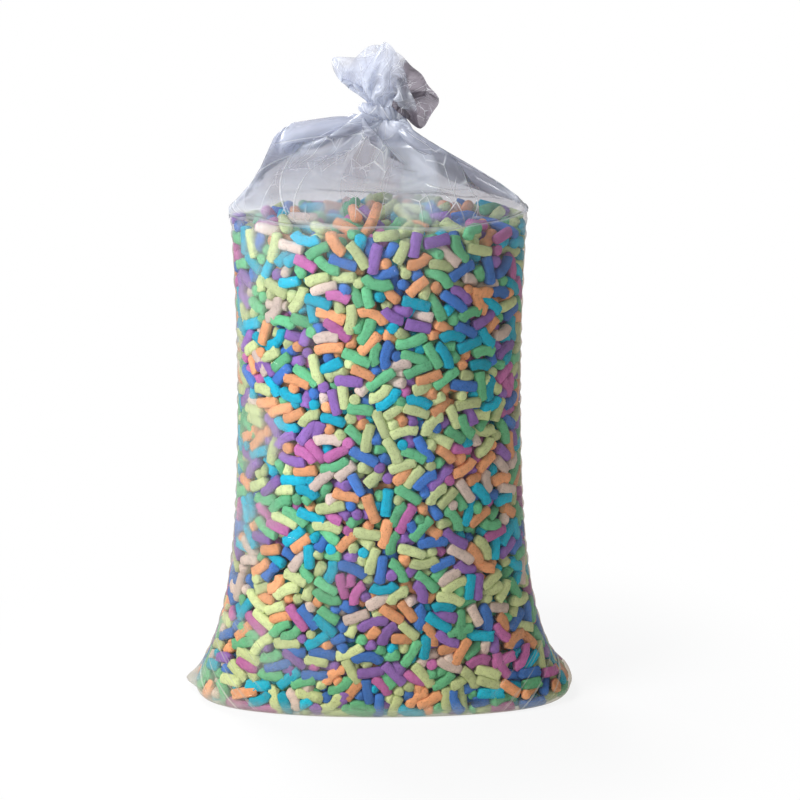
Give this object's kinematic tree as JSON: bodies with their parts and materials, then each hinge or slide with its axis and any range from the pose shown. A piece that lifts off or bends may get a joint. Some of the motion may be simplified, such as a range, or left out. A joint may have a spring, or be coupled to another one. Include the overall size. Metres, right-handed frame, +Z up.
{
  "type": "packing peanut bag",
  "caption": "Clear film bag of coloured foam packing peanuts, standing on a flared base, with its neck gathered and tied shut in a knot of its own film.",
  "frame": {"origin": "centre of the bounding box, at the surface the bag stands on", "axes": "+Z up to the knot; +X along the flat tube's width, through the two bottom corners; -Y the front face"},
  "size_m": [0.4662, 0.2592, 0.8001],
  "materials": {
    "clear_film": "clear, glossy, soft film",
    "packed_peanuts": "mixed coloured starch foam, matt",
    "peanut_cyan": "starch foam, matt and slightly porous",
    "peanut_blue": "starch foam, matt and slightly porous",
    "peanut_purple": "starch foam, matt and slightly porous",
    "peanut_pink": "starch foam, matt and slightly porous",
    "peanut_green": "starch foam, matt and slightly porous",
    "peanut_lime": "starch foam, matt and slightly porous",
    "peanut_peach": "starch foam, matt and slightly porous",
    "peanut_blush": "starch foam, matt and slightly porous"
  },
  "bodies": {
    "root": {"bag_film": "clear_film", "loose_peanut_01": "peanut_pink", "loose_peanut_02": "peanut_peach", "loose_peanut_03": "peanut_blue", "loose_peanut_04": "peanut_blush", "loose_peanut_05": "peanut_blue", "loose_peanut_06": "peanut_green", "loose_peanut_07": "peanut_blue", "loose_peanut_08": "peanut_cyan", "loose_peanut_09": "peanut_green", "loose_peanut_10": "peanut_blue", "loose_peanut_11": "peanut_lime", "loose_peanut_12": "peanut_peach", "loose_peanut_13": "peanut_cyan", "loose_peanut_14": "peanut_peach", "loose_peanut_15": "peanut_purple", "loose_peanut_16": "peanut_blush", "loose_peanut_17": "peanut_peach", "loose_peanut_18": "peanut_cyan", "loose_peanut_19": "peanut_green", "loose_peanut_20": "peanut_peach", "loose_peanut_21": "peanut_green", "loose_peanut_22": "peanut_blue", "loose_peanut_23": "peanut_purple", "loose_peanut_24": "peanut_purple", "loose_peanut_25": "peanut_blue", "loose_peanut_26": "peanut_blush", "loose_peanut_27": "peanut_blush", "loose_peanut_28": "peanut_cyan", "loose_peanut_29": "peanut_blue", "loose_peanut_30": "peanut_green", "loose_peanut_31": "peanut_purple", "loose_peanut_32": "peanut_green", "peanut_heap": "packed_peanuts"}
  },
  "joints": []
}
